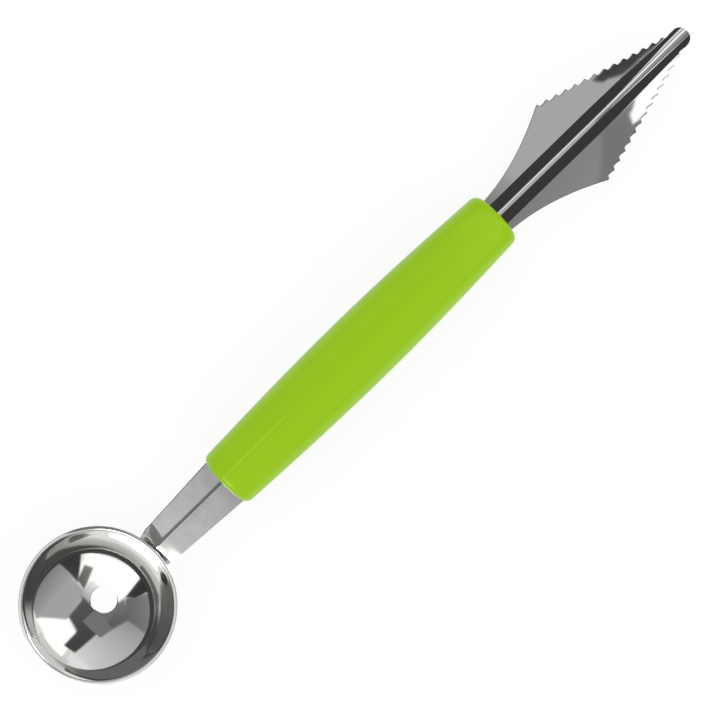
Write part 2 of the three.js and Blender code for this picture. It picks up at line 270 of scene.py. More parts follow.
def draw_line(name, points):
    """A new object with one line of edges: a single vertex, extruded from point to point."""
    bpy.ops.object.select_all(action="DESELECT")
    bpy.ops.mesh.primitive_plane_add(size=MM)
    piece = bpy.context.object
    name_piece(piece, name)
    bpy.ops.object.mode_set(mode="EDIT")
    bpy.ops.mesh.select_mode(type="VERT")
    bpy.ops.mesh.select_all(action="SELECT")
    bpy.ops.mesh.merge(type="CENTER")
    bpy.ops.transform.translate(value=points[0])
    for start, end in zip(points, points[1:]):
        bpy.ops.mesh.extrude_vertices_move(TRANSFORM_OT_translate={"value": end - start})
    return piece


def turn_line(centre, axis, steps):
    """Spins the drawn line once round an axis into a closed skin."""
    bpy.ops.mesh.select_all(action="SELECT")
    bpy.ops.mesh.remove_doubles(threshold=MERGE_DISTANCE)
    bpy.ops.mesh.spin(steps=steps, angle=math.tau, center=centre, axis=axis)
    bpy.ops.mesh.select_all(action="SELECT")
    bpy.ops.mesh.remove_doubles(threshold=MERGE_DISTANCE)
    bpy.ops.mesh.normals_make_consistent(inside=False)
    bpy.ops.object.mode_set(mode="OBJECT")


def press_sheet(name, columns, across, height, thickness):
    """A flat grid of sheet steel, cut to its outline and pressed to shape, then given its thickness.

    columns holds (x, half width) from one end to the other, across gives the rows of a half width
    and height the middle surface at (x, y).
    """
    row_count = len(across(columns[0][1]))
    bpy.ops.object.select_all(action="DESELECT")
    bpy.ops.mesh.primitive_grid_add(
        x_subdivisions=len(columns) - 1, y_subdivisions=row_count - 1, size=2)
    piece = bpy.context.object
    name_piece(piece, name)
    for vertex in piece.data.vertices:
        x, half_width = columns[round((vertex.co.x + 1) / 2 * (len(columns) - 1))]
        y = across(half_width)[round((vertex.co.y + 1) / 2 * (row_count - 1))]
        vertex.co = (x, y, height(x, y))
    finish_modifier(piece, "SOLIDIFY", thickness=thickness, offset=0, use_even_offset=True)
    return piece


def mirrored_rows(half_rows):
    """Rows from one edge to the other, from those of one half that starts on the centre line."""
    return [-row for row in reversed(half_rows[1:])] + list(half_rows)


def bowl_wall(radius, rim_edge):
    """One face of the bowl's wall in section, radius and height, from the drain hole to the rim."""
    start = math.asin(DRAIN_HOLE_DIAMETER / 2 / radius) - math.pi / 2
    face = arc_points((0, sphere_z), radius, start, wall_angle - math.pi / 2, BOWL_STEPS)
    top = Vector((rim_edge, bowl_rim_z))
    return face + [face[-1].lerp(top, 0.5), top]


def make_scoop_bowl():
    """The drawn cup: its wall's section turned round the upright axis."""
    inside = bowl_wall(bowl_inner_radius, mouth_radius)
    outside = bowl_wall(bowl_outer_radius, rim_radius)
    outside.reverse()
    section = inside + outside
    last = len(section) - 1
    corners = (0, len(inside) - 1, len(inside), last)
    section = round_corners(section, corners, BOWL_EDGE_ROUND)
    line = [Vector((bowl_axis_x + point.x, 0, point.y)) for point in section]
    line.append(line[0])
    bowl = draw_line("bowl_polished", line)
    turn_line((bowl_axis_x, 0, 0), (0, 0, 1), BOWL_SIDES)
    smooth_faces(bowl, BOWL_SMOOTH_DEGREES)
    return bowl


def ridge_rise(x, y):
    """Height of the ridge at a place, less the fall of the roof at the bend, x from the bowl's axis."""
    out = math.hypot(y, CREST_ROUND) - CREST_ROUND
    height = RIDGE_SLOPE * RIDGE_HALF_WIDTH / RIDGE_POWER
    ridge = height * max(1 - out / RIDGE_HALF_WIDTH, 0.0) ** RIDGE_POWER
    opening = 1 - blend_share(x, roof_full, roof_start)
    return ridge * (1 - RIDGE_FADE * opening) - math.tan(ROOF_ANGLE * opening) * out


def neck_height(x, y):
    """The neck's middle surface, x from the bowl's axis: dished at the seat, straight from the bend on."""
    dish = 1 - blend_share(x, dish_start, dish_end)
    reach = math.sqrt(x ** 2 + dish * y ** 2)
    if reach < seat_top_reach:
        level = sphere_z - math.sqrt(seat_radius ** 2 - reach ** 2)
    elif reach < bend_reach:
        bend = math.sqrt(NECK_BEND_RADIUS ** 2 - (bend_reach - reach) ** 2)
        level = handle_axis_z + bend - NECK_BEND_RADIUS
    else:
        level = handle_axis_z
    return level + ridge_rise(x, y) * (1 - dish)


def neck_outline():
    """The strip's half width along its length, from the seat to the end of the tang."""
    centre = (seat_end_reach + SEAT_CORNER, SEAT_WIDTH / 2 - SEAT_CORNER)
    corner = arc_points(centre, SEAT_CORNER, math.pi, math.pi / 2, CORNER_STEPS)
    entry_end = bowl_reach + NECK_ENTRY
    shoulder = (NECK_WIDTH_AT_HANDLE - NECK_TANG_WIDTH) / 2
    marks = [(point.x, point.y) for point in corner]
    marks += [
        (seat_top_reach, SEAT_WIDTH / 2),
        (bend_reach, NECK_WIDTH_AT_BOWL / 2),
        (bowl_reach, NECK_WIDTH_AT_HANDLE / 2),
        (entry_end, NECK_WIDTH_AT_HANDLE / 2),
        (entry_end + shoulder, NECK_TANG_WIDTH / 2),
        (bowl_reach + NECK_TANG_LENGTH, NECK_TANG_WIDTH / 2),
    ]
    return marks


def fill_columns(marks, longest):
    """Outline marks with more columns put in wherever two stand further apart than a given step."""
    columns = [marks[0]]
    for (start_x, start_half), (end_x, end_half) in zip(marks, marks[1:]):
        steps = max(1, math.ceil((end_x - start_x) / longest))
        for step in range(1, steps + 1):
            share = step / steps
            x = start_x + (end_x - start_x) * share
            half = start_half + (end_half - start_half) * share
            columns.append((x, half))
    return columns


def neck_rows(half_width):
    """Rows across the neck, close together on the ridge."""
    shares = [(step / NECK_ROWS) ** NECK_ROW_POWER for step in range(NECK_ROWS + 1)]
    return mirrored_rows([half_width * share for share in shares])


def at_bowl_axis(height):
    """A height rule that takes x from the bowl's axis, made to take it from the origin."""
    return lambda x, y: height(x - bowl_axis_x, y)


def make_scoop_neck():
    """The pressed strip between the handle and the bowl, with its tang."""
    marks = fill_columns(neck_outline(), NECK_COLUMN_STEP)
    columns = [(bowl_axis_x + x, half) for x, half in marks]
    neck = press_sheet("neck_pressed", columns, neck_rows, at_bowl_axis(neck_height), NECK_SHEET)
    round_edges(neck, NECK_EDGE_ROUND)
    return neck


def near_tip(x):
    """How far a place is on the way to the tip, from where the rib starts to change, x from the origin."""
    return blend_share(x, handle_high.x + RIB_ROUNDING_START, blade_high.x)


def crest_radius(x):
    """The rib's crest, rounder towards the tip."""
    return RIB_CREST_RADIUS + (RIB_CREST_RADIUS_AT_TIP - RIB_CREST_RADIUS) * near_tip(x)


def rib_half_width(x):
    """Half the rib's width, narrower towards the tip."""
    return (RIB_WIDTH + (RIB_WIDTH_AT_TIP - RIB_WIDTH) * near_tip(x)) / 2


def rib_fall(x, y):
    """How far the rib has fallen from its crest, out to the wing's root."""
    radius = crest_radius(x)
    flank_start = radius * math.sin(RIB_FLANK_ANGLE)
    if y < flank_start:
        return radius - math.sqrt(radius ** 2 - y ** 2)
    shoulder = radius * (1 - math.cos(RIB_FLANK_ANGLE))
    return shoulder + (y - flank_start) * math.tan(RIB_FLANK_ANGLE)


def wing_root_z():
    """Height of the middle surface where the wings leave the rib, the same all along the blade."""
    return handle_axis_z - rib_fall(handle_high.x, RIB_WIDTH / 2) / 2


def blade_height(x, y):
    """The blade's middle surface: rib, fold and wing."""
    root = rib_half_width(x)
    out = abs(y)
    flank_slope = math.tan(RIB_FLANK_ANGLE)
    wing_slope = math.tan(WING_ANGLE)
    if out < root - FOLD_ROUND:
        rise = rib_fall(x, root) - rib_fall(x, out)
    elif out < root + FOLD_ROUND:
        into = out - root + FOLD_ROUND
        turn = (flank_slope - wing_slope) * into ** 2 / (4 * FOLD_ROUND)
        rise = flank_slope * (FOLD_ROUND - into) + turn
    else:
        rise = wing_slope * (root - out)
    return wing_root_z() + wing_slope * (RIB_WIDTH / 2 - root) + rise


def leaf_edge():
    """Half the leaf's width from the handle to the tip: flare, hooked teeth and nose."""
    start = Vector((0, BLADE_WIDTH_AT_HANDLE / 2))
    swing = Vector((FLARE_START, FLARE_WIDTH / 2))
    shoulder = Vector((SHOULDER_REACH, BLADE_WIDTH / 2))
    edge_end = Vector((blade_length - TIP_LENGTH, TIP_WIDTH / 2))
    edge = bezier_points(start, swing, shoulder, FLARE_STEPS)
    edge.pop()
    for tooth in range(TOOTH_COUNT):
        tip = shoulder.lerp(edge_end, tooth / TOOTH_COUNT)
        following = shoulder.lerp(edge_end, (tooth + 1) / TOOTH_COUNT)
        root = Vector((tip.x + TOOTH_FACE_RUN, tip.y - TOOTH_DEPTH))
        hollow = root.lerp(following, 0.5) - Vector((0, 2 * TOOTH_HOLLOW))
        tip_start = edge[-1].lerp(tip, TOOTH_TIP_ROUND)
        tip_end = tip.lerp(root, TOOTH_FACE_ROUND)
        edge.extend(bezier_points(tip_start, tip, tip_end, TOOTH_CORNER_STEPS))
        root_start = tip.lerp(root, 1 - TOOTH_FACE_ROUND)
        root_end = root.lerp(hollow, TOOTH_ROOT_ROUND)
        edge.extend(bezier_points(root_start, root, root_end, TOOTH_CORNER_STEPS))
        back_start = root.lerp(hollow, TOOTH_BACK_START)
        edge.extend(bezier_points(back_start, hollow, following, TOOTH_BACK_STEPS)[:-1])
    nose_corner = Vector((blade_length, edge_end.y))
    nose = bezier_points(edge_end, nose_corner, Vector((blade_length, 0)), NOSE_STEPS)
    edge.extend(nose[:NOSE_BLUNT_STEP])
    edge.append(Vector((blade_length, nose[NOSE_BLUNT_STEP].y)))
    return [(point.x, point.y) for point in edge]


def blade_rows(half_width):
    """Rows across the blade, close together on the rib and at the fold, the last one beside the edge."""
    rows = [RIB_ROW_STEP * step for step in range(round(RIB_ROW_REACH / RIB_ROW_STEP) + 1)]
    reach = rows[-1]
    if half_width < reach * NARROW_LEAF:
        rows = [row * half_width / reach / NARROW_LEAF for row in rows]
        reach = rows[-1]
    wing = half_width - reach
    flat = max(wing - BLADE_EDGE_BAND, wing / 2)
    for share in WING_ROW_SHARES:
        rows.append(reach + flat * share)
    rows.append(half_width)
    return mirrored_rows(rows)


def make_carving_blade():
    """The folded leaf with its tang."""
    tang = [(-BLADE_TANG_LENGTH, BLADE_WIDTH_AT_HANDLE / 2), (-MM, BLADE_WIDTH_AT_HANDLE / 2)]
    marks = fill_columns(tang, TANG_COLUMN_STEP) + leaf_edge()
    columns = [(handle_high.x + x, half) for x, half in marks]
    blade = press_sheet("blade_polished", columns, blade_rows, blade_height, BLADE_SHEET)
    round_edges(blade, BLADE_EDGE_ROUND)
    return blade


def barrel_radius(x):
    """The handle's radius at a distance from its middle."""
    end_radius = (HANDLE_SCOOP_END_DIAMETER if x < 0 else HANDLE_BLADE_END_DIAMETER) / 2
    swell = math.cos(math.pi * x / handle_length)
    return end_radius + (handle_mid_radius - end_radius) * swell


def handle_profile():
    """Half the handle's outline, distance along it and radius, from one end's centre to the other's."""
    corner_x = handle_length / 2 - HANDLE_END_ROUND
    scoop_corner = (-corner_x, barrel_radius(-corner_x) - HANDLE_END_ROUND)
    blade_corner = (corner_x, barrel_radius(corner_x) - HANDLE_END_ROUND)
    points = [Vector((-handle_length / 2, 0))]
    points += arc_points(scoop_corner, HANDLE_END_ROUND, math.pi, math.pi / 2, CORNER_STEPS)
    for step in range(1 - BARREL_STEPS, BARREL_STEPS):
        x = corner_x * step / BARREL_STEPS
        points.append(Vector((x, barrel_radius(x))))
    points += arc_points(blade_corner, HANDLE_END_ROUND, math.pi / 2, 0, CORNER_STEPS)
    points.append(Vector((handle_length / 2, 0)))
    return points


def parting_share(place):
    """How much of the mould's parting line stands at a place on the handle's skin, 0 to 1."""
    along = place.x - handle_mid_x
    if abs(along) > handle_length / 2 - HANDLE_END_ROUND / 2:
        return 0.0
    angle = math.atan2(place.y, place.z - handle_axis_z)
    reach = math.pi / HANDLE_SIDES
    if abs(angle - PARTING_ANGLE) < reach:
        return 1 - blend_share(along, PARTING_FADE_START, PARTING_FADE_END)
    if abs(angle - PARTING_ANGLE + math.pi) < reach:
        return PARTING_SHARE_UNDER
    return 0.0


def raise_parting_line(handle):
    """Lifts the line of vertices that the two halves of the mould met on."""
    for vertex in handle.data.vertices:
        outward = Vector((0, vertex.co.y, vertex.co.z - handle_axis_z))
        vertex.co += outward.normalized() * PARTING_HEIGHT * parting_share(vertex.co)


def paint_parting_highlight(handle):
    """Keeps the parting line as an attribute, for the paler green painted along it: a painted highlight of
    its ridge, with the whitening of its thin flash.
    """
    line = handle.data.attributes.new("parting_line", "FLOAT", "POINT")
    for vertex in handle.data.vertices:
        line.data[vertex.index].value = parting_share(vertex.co)


def cut_socket(handle, cutter):
    """Takes the space of a tang out of the handle."""
    finish_modifier(handle, "BOOLEAN", operation="DIFFERENCE", solver="MANIFOLD", object=cutter)
    bpy.data.objects.remove(cutter)


def make_handle():
    """The moulded barrel with the sockets of the two tangs."""
    line = [Vector((handle_mid_x + point.x, 0, handle_axis_z + point.y)) for point in handle_profile()]
    handle = draw_line("handle_moulded", line)
    turn_line((0, 0, handle_axis_z), (1, 0, 0), HANDLE_SIDES)
    raise_parting_line(handle)
    neck_marks = []
    for x, half in neck_outline():
        if x >= bowl_reach:
            neck_marks.append((bowl_axis_x + x, half + SOCKET_CLEARANCE))
    mouth_x = handle_low.x - HANDLE_END_ROUND
    neck_marks.insert(0, (mouth_x, neck_marks[0][1]))
    last_x, last_half = neck_marks[-1]
    neck_marks[-1] = (last_x + SOCKET_CLEARANCE, last_half)
    neck_cutter = press_sheet(
        "neck_socket", neck_marks, neck_rows, at_bowl_axis(neck_height), NECK_SHEET + 2 * SOCKET_CLEARANCE)
    cut_socket(handle, neck_cutter)
    blade_half = BLADE_WIDTH_AT_HANDLE / 2 + SOCKET_CLEARANCE
    blade_marks = [
        (handle_high.x - BLADE_TANG_LENGTH - SOCKET_CLEARANCE, blade_half),
        (handle_high.x + HANDLE_END_ROUND, blade_half),
    ]
    blade_cutter = press_sheet(
        "blade_socket", blade_marks, blade_rows, blade_height, BLADE_SHEET + 2 * SOCKET_CLEARANCE)
    cut_socket(handle, blade_cutter)
    paint_parting_highlight(handle)
    smooth_faces(handle, HANDLE_SMOOTH_DEGREES)
    return handle


def linear_colour(hex_value):
    """An sRGB hex value as a linear colour with full alpha."""
    channels = []
    for start in (1, 3, 5):
        share = int(hex_value[start:start + 2], 16) / 255
        channels.append(share / 12.92 if share <= 0.04045 else ((share + 0.055) / 1.055) ** 2.4)
    return (*channels, 1.0)


def add_node(tree, kind, inputs=None, **settings):
    """Adds one node with its settings; an input takes a value or the socket that feeds it."""
    node = tree.nodes.new(kind)
    for setting, value in settings.items():
        setattr(node, setting, value)
    for name, value in (inputs or {}).items():
        if isinstance(value, bpy.types.NodeSocket):
            tree.links.new(value, node.inputs[name])
        else:
            node.inputs[name].default_value = value
    return node


def new_material(name):
    """An empty material with its output node."""
    material = bpy.data.materials.new(name)
    material.use_nodes = True
    material.node_tree.nodes.clear()
    output = add_node(material.node_tree, "ShaderNodeOutputMaterial")
    return material, material.node_tree, output


def grains_per_metre(size):
    """The noise scale that gives patches of about this size."""
    return 1 / size


def lime_polypropylene():
    """Moulded polypropylene, lime green: a satin skin with the fine grain of the mould.

    The grain breaks the reflections up softly, and the colour hardly varies.
    """
    material, tree, output = new_material("lime_moulded_polypropylene")
    place = add_node(tree, "ShaderNodeTexCoord").outputs["Object"]
    drift = add_node(
        tree, "ShaderNodeTexNoise", {"Vector": place, "Scale": grains_per_metre(22 * MM), "Detail": 2.0})
    body = add_node(
        tree, "ShaderNodeMix",
        {"Factor": drift.outputs["Fac"], "A": linear_colour("#94C400"), "B": linear_colour("#99C800")},
        data_type="RGBA")
    # Paler green along the parting line: a painted highlight of the ridge, with the whitening of its thin
    # flash
    flash_and_highlight = add_node(tree, "ShaderNodeAttribute", attribute_name="parting_line")
    colour = add_node(
        tree, "ShaderNodeMix",
        {"Factor": flash_and_highlight.outputs["Fac"], "A": body.outputs["Result"], "B": linear_colour("#A9D43A")},
        data_type="RGBA")
    patches = add_node(
        tree, "ShaderNodeTexNoise", {"Vector": place, "Scale": grains_per_metre(5 * MM), "Detail": 4.0})
    roughness = add_node(
        tree, "ShaderNodeMapRange", {"Value": patches.outputs["Fac"], "To Min": 0.3, "To Max": 0.4})
    grain = add_node(
        tree, "ShaderNodeTexNoise", {"Vector": place, "Scale": grains_per_metre(0.45 * MM), "Detail": 2.0})
    bump = add_node(
        tree, "ShaderNodeBump", {"Height": grain.outputs["Fac"], "Strength": 0.25, "Distance": 0.02 * MM})
    shader = add_node(
        tree, "ShaderNodeBsdfPrincipled",
        {
            "Base Color": colour.outputs["Result"],
            "Roughness": roughness.outputs["Result"],
            "Normal": bump.outputs["Normal"],
            "IOR": 1.49,
            "Specular IOR Level": 0.28,
        })
    tree.links.new(shader.outputs["BSDF"], output.inputs["Surface"])
    return material


def polished_stainless():
    """Mirror-polished stainless sheet: clear reflections, a little hazy in places and gently waved."""
    material, tree, output = new_material("polished_stainless_steel")
    place = add_node(tree, "ShaderNodeTexCoord").outputs["Object"]
    haze = add_node(
        tree, "ShaderNodeTexNoise", {"Vector": place, "Scale": grains_per_metre(4 * MM), "Detail": 4.0})
    roughness = add_node(
        tree, "ShaderNodeMapRange", {"Value": haze.outputs["Fac"], "To Min": 0.035, "To Max": 0.085})
    wave = add_node(
        tree, "ShaderNodeTexNoise", {"Vector": place, "Scale": grains_per_metre(9 * MM), "Detail": 1.0})
    waved = add_node(
        tree, "ShaderNodeBump", {"Height": wave.outputs["Fac"], "Strength": 0.35, "Distance": 0.12 * MM})
    shader = add_node(
        tree, "ShaderNodeBsdfPrincipled",
        {
            "Base Color": linear_colour("#DCDDDA"),
            "Metallic": 1.0,
            "Roughness": roughness.outputs["Result"],
            "Normal": waved.outputs["Normal"],
        })
    tree.links.new(shader.outputs["BSDF"], output.inputs["Surface"])
    return material


def tumbled_stainless():
    """Tumbled stainless sheet: a dull, finely pitted grey with soft streaks along the strip."""
    material, tree, output = new_material("tumbled_stainless_steel")
    place = add_node(tree, "ShaderNodeTexCoord").outputs["Object"]
    stretch = add_node(
        tree, "ShaderNodeMapping", {"Vector": place, "Scale": (0.12, 1.0, 1.0)})
    streaks = add_node(
        tree, "ShaderNodeTexNoise",
        {"Vector": stretch.outputs["Vector"], "Scale": grains_per_metre(0.5 * MM), "Detail": 3.0})
    roughness = add_node(
        tree, "ShaderNodeMapRange", {"Value": streaks.outputs["Fac"], "To Min": 0.11, "To Max": 0.2})
    patches = add_node(
        tree, "ShaderNodeTexNoise", {"Vector": place, "Scale": grains_per_metre(3 * MM), "Detail": 4.0})
    clouds = add_node(
        tree, "ShaderNodeMix",
        {"Factor": patches.outputs["Fac"], "A": linear_colour("#C4C6C3"), "B": linear_colour("#DCDDDA")},
        data_type="RGBA")
    pits = add_node(
        tree, "ShaderNodeTexNoise", {"Vector": place, "Scale": grains_per_metre(0.3 * MM), "Detail": 2.0})
    bump = add_node(
        tree, "ShaderNodeBump", {"Height": pits.outputs["Fac"], "Strength": 0.3, "Distance": 0.02 * MM})
    shader = add_node(
        tree, "ShaderNodeBsdfPrincipled",
        {
            "Base Color": clouds.outputs["Result"],
            "Metallic": 1.0,
            "Roughness": roughness.outputs["Result"],
            "Normal": bump.outputs["Normal"],
        })
    tree.links.new(shader.outputs["BSDF"], output.inputs["Surface"])
    return material


def dress(piece, material, node):
    """Gives a finished piece its material and puts it in its node's place."""
    piece.data.materials.clear()
    piece.data.materials.append(material)
    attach(piece, "root")
    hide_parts(node)


steel = polished_stainless()
handle_piece = make_handle()
# The steel doesn't mirror the handle's green
handle_piece.visible_glossy = False
dress(handle_piece, lime_polypropylene(), "handle")
dress(make_scoop_bowl(), steel, "scoop_bowl")
dress(make_scoop_neck(), tumbled_stainless(), "scoop_neck")
dress(make_carving_blade(), steel, "carving_blade")

# Camera: straight above, the tool lying at a slant in the picture
CAMERA_HEIGHT = 410 * MM
CAMERA_LENS = 86.0
CAMERA_SENSOR = 36.0
CAMERA_TURN = math.radians(-44.29)
CAMERA_AIM = Vector((-3.07 * MM, 0.97 * MM, 0))
camera_place = CAMERA_AIM + Vector((0, 0, handle_axis_z + CAMERA_HEIGHT))

# Studio: an even white surround, a white floor, a soft lamp, and cards that only reflections show
FLOOR_SIZE = 8.0
FLOOR_Z = -0.05 * MM
FLOOR_PAPER = 0.85
FLOOR_GLOW = 0.87
FLOOR_SHADE = 0.14
LAMP_PLACE = Vector((0, -0.7, 0.45))
LAMP_SIZE = 0.7
LAMP_POWER = 0.7
SURROUND_LIGHT = 0.95
CARD_DISTANCE = 0.35
CARD_LAYER = 0.006
CARD_CELLS = 18
WING_CARD_DISTANCE = 0.045
WING_CARD_LAYER = 0.0015
FENCE_HEIGHT = 0.024
FENCE_MIDDLE_X = 0.014
FENCE_HALF_LENGTH = 0.15
FENCE_HALF_WIDTH = 0.11
FENCE_SIDES = 72


def seen_rays(tree):
    """A socket that is 1 for the rays that show a surface, straight or mirrored, and 0 for others."""
    path = add_node(tree, "ShaderNodeLightPath")
    mirrored = add_node(
        tree, "ShaderNodeMath",
        {0: path.outputs["Is Camera Ray"], 1: path.outputs["Is Glossy Ray"]}, operation="MAXIMUM")
    seen = add_node(
        tree, "ShaderNodeMath",
        {0: mirrored.outputs[0], 1: path.outputs["Is Transmission Ray"]}, operation="MAXIMUM")
    return seen.outputs[0]


def even_grey(level):
    """A linear grey with full alpha."""
    return (level, level, level, 1.0)


def light_path_floor():
    """White paper: it shows white with a faint shadow, and gives its light back to the object."""
    material, tree, output = new_material("white_paper_floor")
    seen = seen_rays(tree)
    paper = add_node(tree, "ShaderNodeBsdfDiffuse", {"Color": even_grey(FLOOR_PAPER)})
    shade = add_node(tree, "ShaderNodeBsdfDiffuse", {"Color": even_grey(FLOOR_SHADE)})
    glow = add_node(tree, "ShaderNodeEmission", {"Color": even_grey(1.0), "Strength": FLOOR_GLOW})
    bright = add_node(tree, "ShaderNodeAddShader", {0: shade.outputs[0], 1: glow.outputs[0]})
    mix = add_node(tree, "ShaderNodeMixShader", {0: seen, 1: paper.outputs[0], 2: bright.outputs[0]})
    tree.links.new(mix.outputs[0], output.inputs["Surface"])
    return material


def card_material():
    """A card that shows at the level of its own places in a reflection, clear where nothing covers it."""
    material, tree, output = new_material("studio_card")
    level = add_node(tree, "ShaderNodeAttribute", attribute_name="level")
    cover = add_node(tree, "ShaderNodeAttribute", attribute_name="cover")
    glow = add_node(
        tree, "ShaderNodeEmission", {"Color": even_grey(1.0), "Strength": level.outputs["Fac"]})
    clear = add_node(tree, "ShaderNodeBsdfTransparent")
    mix = add_node(
        tree, "ShaderNodeMixShader", {0: cover.outputs["Fac"], 1: clear.outputs[0], 2: glow.outputs[0]})
    tree.links.new(mix.outputs[0], output.inputs["Surface"])
    material.cycles.emission_sampling = "NONE"
    return material


def stage_card(card, levels, covers):
    """Gives a card its levels and leaves it to reflections alone."""
    for name, values in (("level", levels), ("cover", covers)):
        attribute = card.data.attributes.new(name, "FLOAT", "POINT")
        for vertex in card.data.vertices:
            attribute.data[vertex.index].value = values[vertex.index]
    card.data.materials.append(studio_card)
    card.visible_camera = False
    card.visible_diffuse = False
    card.visible_shadow = False


def edge_distance(place, corners):
    """Shortest distance from a place in a four-cornered card to the lines of its edges."""
    shortest = math.inf
    for start, end in zip(corners, corners[1:] + corners[:1]):
        along = (end - start).normalized()
        away = place - start
        shortest = min(shortest, abs(along.x * away.y - along.y * away.x))
    return shortest


def stage_even_card(card, level):
    """Stages a card that has one level and hard edges."""
    count = len(card.data.vertices)
    stage_card(card, [level] * count, [1.0] * count)


def new_card(name, cells):
    """A square of cells, still to be spread between its corners."""
    bpy.ops.object.select_all(action="DESELECT")
    bpy.ops.mesh.primitive_grid_add(x_subdivisions=cells, y_subdivisions=cells, size=2)
    card = bpy.context.object
    name_piece(card, name)
    return card


def spread_places(card, corners):
    """Each vertex's place between four corners that are in order round the card."""
    first, second, third, fourth = (Vector(corner) for corner in corners)
    places = []
    for vertex in card.data.vertices:
        u = (vertex.co.x + 1) / 2
        v = (vertex.co.y + 1) / 2
        places.append(first.lerp(second, u).lerp(fourth.lerp(third, u), v))
    return places


def stage_soft_card(card, places, corners, softness):
    """Stages a card whose corners and places have their level third, and whose edges fade out."""
    plan = [Vector(corner[:2]) for corner in corners]
    levels = [place.z for place in places]
    covers = [blend_share(edge_distance(place.xy, plan), 0, softness) for place in places]
    stage_card(card, levels, covers)


def hang_card(name, layer, softness, *corners):
    """A soft-edged card round the bowl.

    Each corner is two angles in degrees from straight up, towards +X and +Y, and the level there. The
    softness is in degrees too. A higher layer hangs in front.
    """
    card = new_card(name, CARD_CELLS)
    places = spread_places(card, corners)
    centre = Vector((bowl_axis_x, 0, bowl_rim_z))
    distance = CARD_DISTANCE - CARD_LAYER * layer
    for vertex, place in zip(card.data.vertices, places):
        lean = place.xy
        tilt = math.radians(lean.length)
        out = lean.normalized() * math.sin(tilt)
        vertex.co = centre + Vector((out.x, out.y, math.cos(tilt))) * distance
    stage_soft_card(card, places, corners, softness)


def hang_wing_card(name, layer, softness, side, *corners):
    """A small soft-edged card over the blade, where one of its wings mirrors it to the camera.

    Each corner is a place on the wing in millimetres, along from the handle's end and out from the
    middle, and the level there. Side is 1 for the +Y wing and -1 for the other.
    """
    card = new_card(name, CARD_CELLS)
    places = spread_places(card, corners)
    facing = Vector((0, side * math.sin(WING_ANGLE), math.cos(WING_ANGLE)))
    distance = WING_CARD_DISTANCE - WING_CARD_LAYER * layer
    for vertex, place in zip(card.data.vertices, places):
        fall = (place.y * MM - RIB_WIDTH / 2) * math.tan(WING_ANGLE)
        wing_z = wing_root_z() + BLADE_SHEET / 2 - fall
        spot = Vector((handle_high.x + place.x * MM, side * place.y * MM, wing_z))
        sight = (spot - camera_place).normalized()
        vertex.co = spot + sight.reflect(facing) * distance
    stage_soft_card(card, places, corners, softness)


def place_card(name, level, *corners):
    """A small flat card with its four corners in millimetres, in order round it."""
    card = new_card(name, 1)
    for vertex, place in zip(card.data.vertices, spread_places(card, corners)):
        vertex.co = place * MM
    stage_even_card(card, level)


def stand_fence(name, level):
    """A low strip that stands round the tool on the floor."""
    bpy.ops.object.select_all(action="DESELECT")
    bpy.ops.mesh.primitive_cylinder_add(
        vertices=FENCE_SIDES, radius=1, depth=1, end_fill_type="NOTHING")
    fence = bpy.context.object
    name_piece(fence, name)
    for vertex in fence.data.vertices:
        vertex.co.x = FENCE_MIDDLE_X + vertex.co.x * FENCE_HALF_LENGTH
        vertex.co.y *= FENCE_HALF_WIDTH
        vertex.co.z = (vertex.co.z + 0.5) * FENCE_HEIGHT
    stage_even_card(fence, level)


bpy.ops.object.select_all(action="DESELECT")
bpy.ops.mesh.primitive_plane_add(size=FLOOR_SIZE, location=(0, 0, FLOOR_Z))
floor = bpy.context.object
name_piece(floor, "floor")
floor.data.materials.append(light_path_floor())

studio_card = card_material()

# Round the bowl: windows with a lamp in each, light and grey fields, then dark ones in front
hang_card("window_bowl_end", 0, 5, (-80, 18, 1.38), (-18, 32, 1.38), (-10, -48, 1.38), (-52, -64, 1.38))
hang_card("lamp_bowl_end", 1, 5, (-70, 8, 9.0), (-38, 12, 9.0), (-34, -28, 9.0), (-58, -38, 9.0))
hang_card("window_blade_end", 0, 2, (34, 12, 1.38), (84, 10, 1.38), (66, -54, 1.38), (32, -28, 1.38))
hang_card("lamp_blade_end", 1, 4, (48, 1, 9.0), (76, 0, 9.0), (64, -38, 9.0), (46, -22, 9.0))
hang_card("card_side_light", 2, 3, (-23, 30, 0.3), (66, 19, 0.95), (58, 84, 0.75), (-42, 86, 0.45))
hang_card("card_far_grey", 2, 3, (-3, -22, 0.5), (39, -14, 0.5), (66, -52, 0.48), (-9, -52, 0.5))
hang_card("card_far_grey_low", 2, 3, (-9, -46, 0.5), (67, -47, 0.48), (46, -90, 0.2), (-24, -95, 0.2))
hang_card("card_overhead", 3, 3, (-26, 25, 1.0), (9, 26, 0.85), (9, -25, 0.3), (-20, -30, 1.15))
hang_card("card_side_grey", 4, 3, (-82, 40, 0.34), (-34, 15, 0.19), (-14, 36, 0.16), (-36, 90, 0.3))
hang_card("card_top_grey", 4, 4, (-37, 14, 0.3), (-22, 43, 0.15), (10, 36, 0.14), (8, 10, 0.12))
hang_card("card_side_dark", 5, 2, (-86, 10, 0.04), (-75, 35, 0.04), (-44, 26, 0.04), (-32, 15, 0.06))
hang_card("card_top_dark", 5, 3, (4, 28, 0.08), (62, 27, 0.07), (69, 5, 0.07), (6, 2, 0.1))
hang_card("card_top_dark_low", 5, 4, (0, 22, 0.1), (44, 9, 0.08), (36, -19, 0.12), (2, -23, 0.13))
hang_card("card_far_dark", 5, 2, (-15, -88, 0.05), (-48, -66, 0.05), (-33, -56, 0.05), (-4, -36, 0.07))
hang_card("card_far_notch", 6, 3, (-36, -37, 0.3), (-31, -51, 0.25), (-7, -43, 0.12), (-1, -24, 0.2))
stand_fence("fence_low_dark", 0.06)

